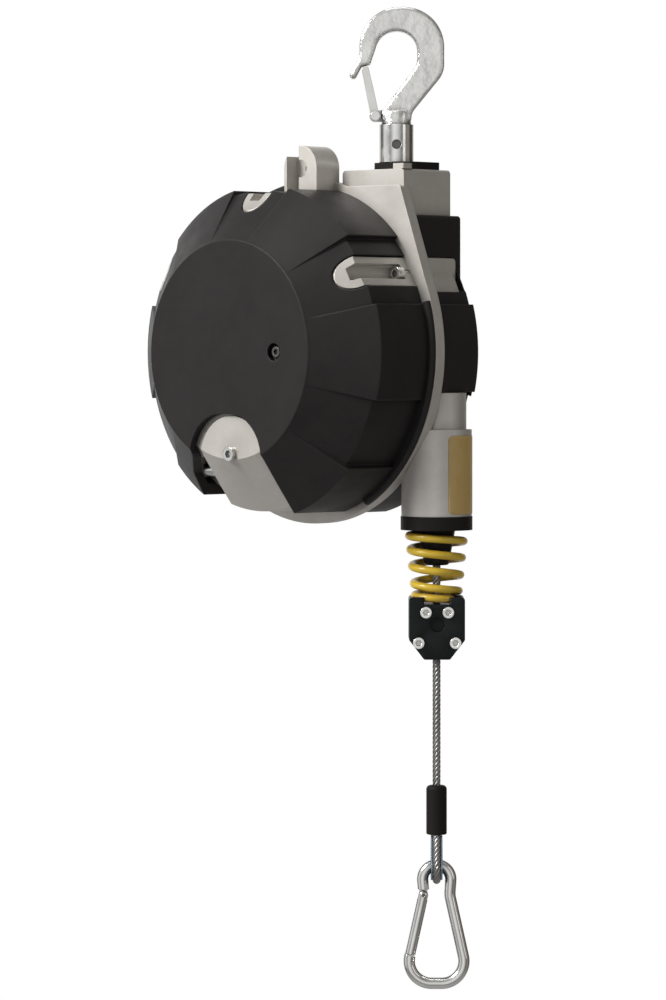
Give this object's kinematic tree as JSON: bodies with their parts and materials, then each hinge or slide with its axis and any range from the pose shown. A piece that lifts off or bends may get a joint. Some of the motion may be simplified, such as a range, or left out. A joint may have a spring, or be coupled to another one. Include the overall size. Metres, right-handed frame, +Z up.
{
  "type": "spring tool balancer",
  "caption": "Spring balancer for hanging a tool: rope drum in a cast casing with moulded covers, swivel safety hook above, steel rope with stop clamp, bumper spring and snap hook below.",
  "frame": {"origin": "the hook's saddle, where the top hook bears on what carries it", "axes": "+Z up along the swivel and the rope; the drum turns about Y with the front cover at -Y; the rope leaves on the +X side"},
  "size_m": [0.257, 0.1665, 0.7262],
  "materials": {
    "zinc_steel": "bright zinc plated, forged and turned",
    "dark_steel": "dark pressed steel, satin",
    "bearing_steel": "ground",
    "spring_steel": "blued strip",
    "cast_aluminium": "die cast, shot blasted, satin",
    "black_cover": "fine moulded texture, matte",
    "black_guide": "turned plastic, matte",
    "black_clamp": "moulded, satin",
    "black_rubber": "moulded rubber",
    "yellow_spring": "gloss powder coat",
    "bronze": "turned bronze",
    "steel_rope": "galvanised twisted wire rope",
    "blue_zinc": "blue passivated zinc"
  },
  "bodies": {
    "hook": {"top_hook": "zinc_steel", "latch_pin": "zinc_steel", "swivel_stem": "zinc_steel", "sleeve_pin": "dark_steel", "stem_nut": "zinc_steel", "thrust_bearing": "bearing_steel"},
    "latch": {"hook_latch": "dark_steel"},
    "housing": {"front_casing": "cast_aluminium", "rear_casing": "cast_aluminium", "front_cover": "black_cover", "rear_cover": "black_cover", "casing_screws": "zinc_steel", "cover_screw": "dark_steel", "worm_housing_screw": "zinc_steel", "swivel_washer": "black_rubber", "outlet_ring": "black_rubber", "rope_guide": "black_guide", "worm_bush_left": "bronze", "worm_bush_right": "bronze", "bumper_spring": "yellow_spring"},
    "drum": {"rope_drum": "cast_aluminium", "rope_on_drum": "steel_rope", "spring_case_lid": "cast_aluminium", "front_bearing": "bearing_steel", "rear_bearing": "bearing_steel", "power_spring": "spring_steel"},
    "arbor": {"spring_arbor": "bearing_steel", "worm_wheel": "bronze"},
    "worm": {"worm_screw": "zinc_steel"},
    "load_end": {"clamp_front": "black_clamp", "clamp_rear": "black_clamp", "clamp_screws": "zinc_steel", "rope_run": "steel_rope", "lower_rope": "steel_rope", "ferrule": "cast_aluminium", "ferrule_sleeve": "black_rubber", "rope_eye": "steel_rope", "thimble": "blue_zinc"},
    "carabiner": {"carabiner_body": "zinc_steel", "gate_pin": "dark_steel"},
    "gate": {"carabiner_gate": "zinc_steel"}
  },
  "joints": [
    {"name": "hook_swivel", "type": "hinge", "parent": "hook", "child": "housing", "pos_m": [0, 0, -0.1035], "axis": [0, 0, 1], "continuous": true},
    {"name": "latch_pivot", "type": "hinge", "parent": "hook", "child": "latch", "pos_m": [-0.01125, -0.01109, -0.063], "axis": [-0.7022, 0.712, 0], "range_deg": [0, 30], "stiffness_Nm_per_rad": 0.02, "springref_deg": -34.38},
    {"name": "drum_spin", "type": "hinge", "parent": "housing", "child": "drum", "pos_m": [-0.06, -0.025, -0.2385], "axis": [0, 1, 0], "range_deg": [0, 1134.57], "stiffness_Nm_per_rad": 0.35, "springref_deg": -1718.87},
    {"name": "rope_payout", "type": "slide", "parent": "housing", "child": "load_end", "axis": [0, 0, -1], "range_m": [0, 2.001], "deforming": ["rope_run"]},
    {"name": "arbor_adjust", "type": "hinge", "parent": "housing", "child": "arbor", "pos_m": [-0.06, -0.025, -0.2385], "axis": [0, 1, 0], "continuous": true},
    {"name": "worm_adjust", "type": "hinge", "parent": "housing", "child": "worm", "pos_m": [-0.06, -0.083, -0.3255], "axis": [1, 0, 0], "continuous": true},
    {"name": "carabiner_swing", "type": "hinge", "parent": "load_end", "child": "carabiner", "pos_m": [0.041, 0, -0.6165], "axis": [0.712, 0.7022, 0], "range_deg": [-30, 30]},
    {"name": "gate_pivot", "type": "hinge", "parent": "carabiner", "child": "gate", "pos_m": [0.03409, -0.00681, -0.6387], "axis": [0.7022, -0.712, 0], "range_deg": [0, 20], "stiffness_Nm_per_rad": 0.02, "springref_deg": -28.65}
  ],
  "couplings": [
    {"joint": "rope_payout", "follows": "drum_spin", "m_per_rad": 0.101},
    {"joint": "worm_adjust", "follows": "arbor_adjust", "ratio": 60}
  ]
}
